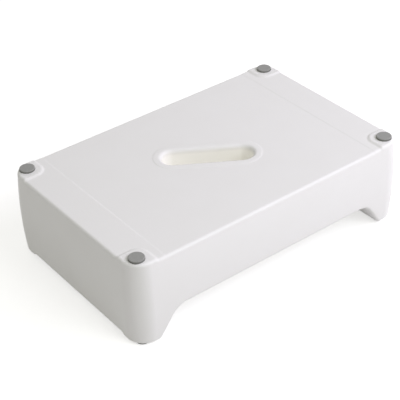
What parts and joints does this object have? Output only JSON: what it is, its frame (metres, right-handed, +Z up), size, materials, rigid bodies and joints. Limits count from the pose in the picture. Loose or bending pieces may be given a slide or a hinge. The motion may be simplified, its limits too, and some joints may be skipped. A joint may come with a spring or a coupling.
{
  "type": "reversible step stool",
  "caption": "Low white moulded step stool shaped like a bridge, with a diagonal hand slot and grey rubber plugs on its upper corners and under its legs, so it stands either way up.",
  "frame": {"origin": "on the floor under the middle of the stool, as it stands on its legs", "axes": "+X along the long side, +Y to the back, +Z up"},
  "size_m": [0.424, 0.273, 0.123],
  "materials": {
    "body_white": "satin moulded polyethylene",
    "rubber_grey": "matt moulded rubber"
  },
  "bodies": {
    "root": {"body": "body_white", "deck_pad_front_left": "rubber_grey", "deck_pad_front_right": "rubber_grey", "deck_pad_back_left": "rubber_grey", "deck_pad_back_right": "rubber_grey", "foot_front_left": "rubber_grey", "foot_front_right": "rubber_grey", "foot_back_left": "rubber_grey", "foot_back_right": "rubber_grey"}
  },
  "joints": []
}
